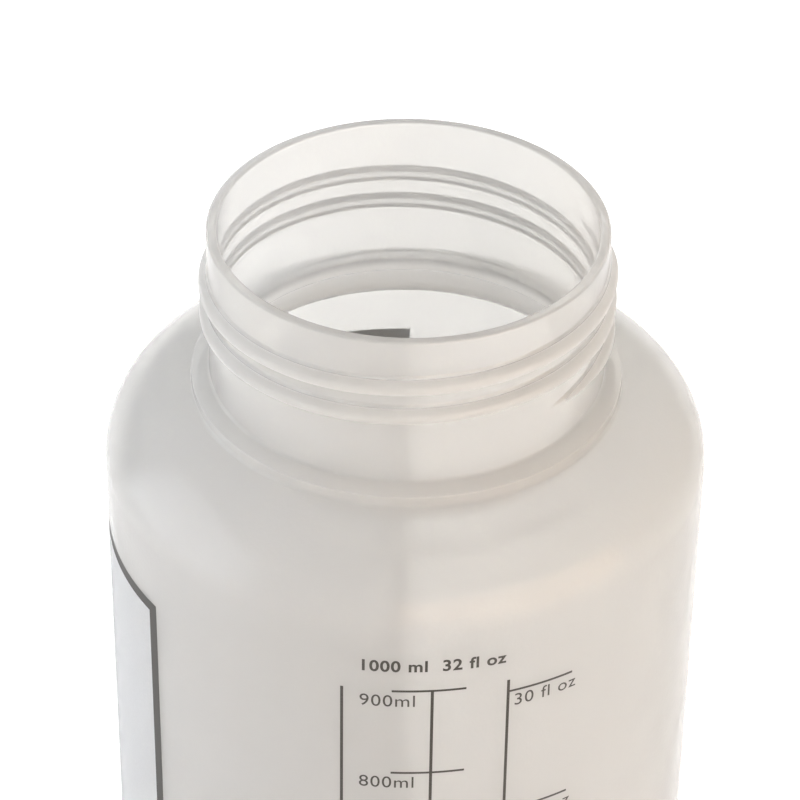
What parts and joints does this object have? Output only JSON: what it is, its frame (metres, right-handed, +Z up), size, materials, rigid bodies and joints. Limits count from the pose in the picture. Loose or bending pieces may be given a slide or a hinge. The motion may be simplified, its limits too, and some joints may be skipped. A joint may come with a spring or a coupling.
{
  "type": "wide-mouth storage bottle",
  "caption": "Round translucent plastic bottle with a wide screw neck, a ringed neck base, a sloping shoulder and a straight body.",
  "frame": {"origin": "centre of the plane the bottle stands on, on its axis", "axes": "+Z up along the bottle's axis to the mouth, -Y the front, where the graduations are"},
  "size_m": [0.0922, 0.0922, 0.198],
  "materials": {
    "polyethylene": "natural milky polyethylene, soft satin gloss",
    "scale_ink": "dark screen-printed ink of the scale and of the panel's border",
    "panel_ink": "thin white screen-printed ink of the write-on panel"
  },
  "bodies": {
    "root": {"bottle": "polyethylene"}
  },
  "joints": []
}
